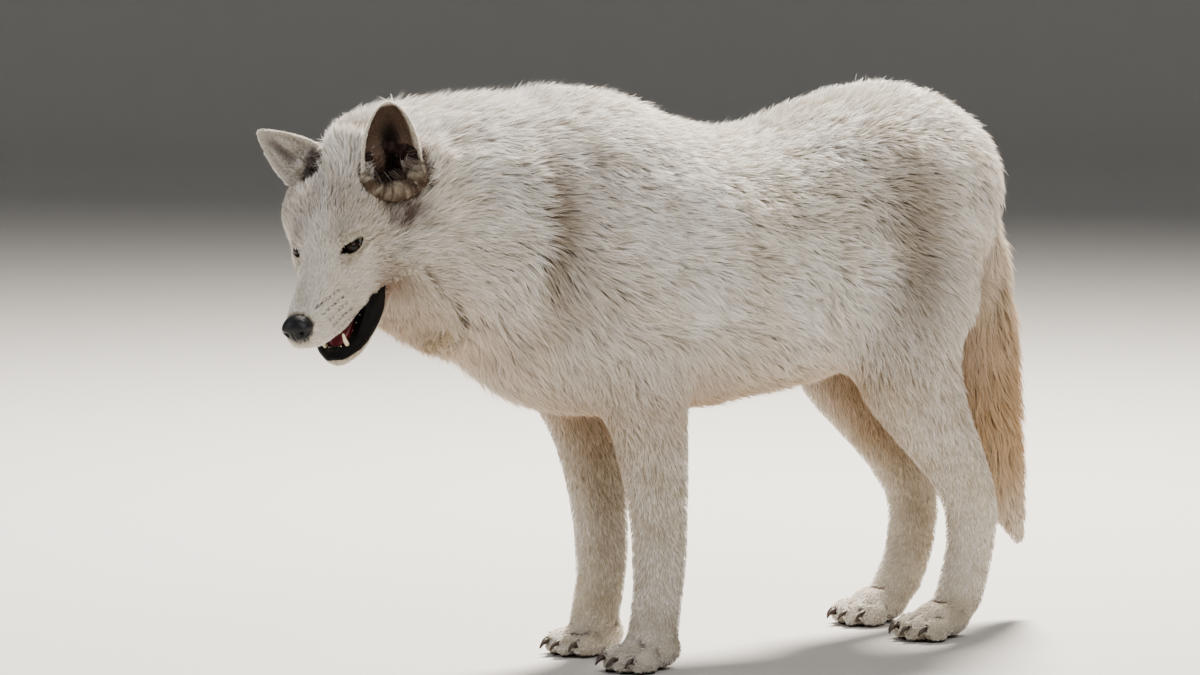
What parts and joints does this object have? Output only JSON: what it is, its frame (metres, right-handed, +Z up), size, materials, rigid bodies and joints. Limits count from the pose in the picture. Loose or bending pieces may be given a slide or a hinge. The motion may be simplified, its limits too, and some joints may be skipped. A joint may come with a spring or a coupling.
{
  "type": "arctic wolf model",
  "caption": "Life-size still arctic wolf standing on four legs, head turned to its left and held low, mouth open, tail hanging.",
  "frame": {"origin": "on the floor, under the middle of the figure's bounding box", "axes": "+Z up, +X to the wolf's left, the wolf faces -Y"},
  "size_m": [0.3292, 1.3264, 0.7861],
  "materials": {
    "winter_coat": "long pale fur, cream to warm tan, matte",
    "eye": "wet dark amber",
    "nose_leather": "pebbled black, damp",
    "tongue": "moist dark red",
    "tooth_enamel": "ivory, semi-gloss",
    "claw_horn": "dark brown horn, satin"
  },
  "bodies": {
    "root": {"head": "winter_coat", "lower_jaw": "winter_coat", "neck": "winter_coat", "trunk": "winter_coat", "tail": "winter_coat", "leg_front_left": "winter_coat", "leg_front_right": "winter_coat", "leg_hind_left": "winter_coat", "leg_hind_right": "winter_coat", "paw_front_left": "winter_coat", "paw_front_right": "winter_coat", "paw_hind_left": "winter_coat", "paw_hind_right": "winter_coat", "ear_left": "winter_coat", "ear_right": "winter_coat", "eye_left": "eye", "eye_right": "eye", "nose": "nose_leather", "tongue": "tongue", "canine_lower_left": "tooth_enamel", "canine_lower_right": "tooth_enamel", "canine_upper_left": "tooth_enamel", "canine_upper_right": "tooth_enamel", "claw_front_left_1": "claw_horn", "claw_front_left_2": "claw_horn", "claw_front_left_3": "claw_horn", "claw_front_left_4": "claw_horn", "claw_front_right_1": "claw_horn", "claw_front_right_2": "claw_horn", "claw_front_right_3": "claw_horn", "claw_front_right_4": "claw_horn", "claw_hind_left_1": "claw_horn", "claw_hind_left_2": "claw_horn", "claw_hind_left_3": "claw_horn", "claw_hind_left_4": "claw_horn", "claw_hind_right_1": "claw_horn", "claw_hind_right_2": "claw_horn", "claw_hind_right_3": "claw_horn", "claw_hind_right_4": "claw_horn"}
  },
  "joints": []
}
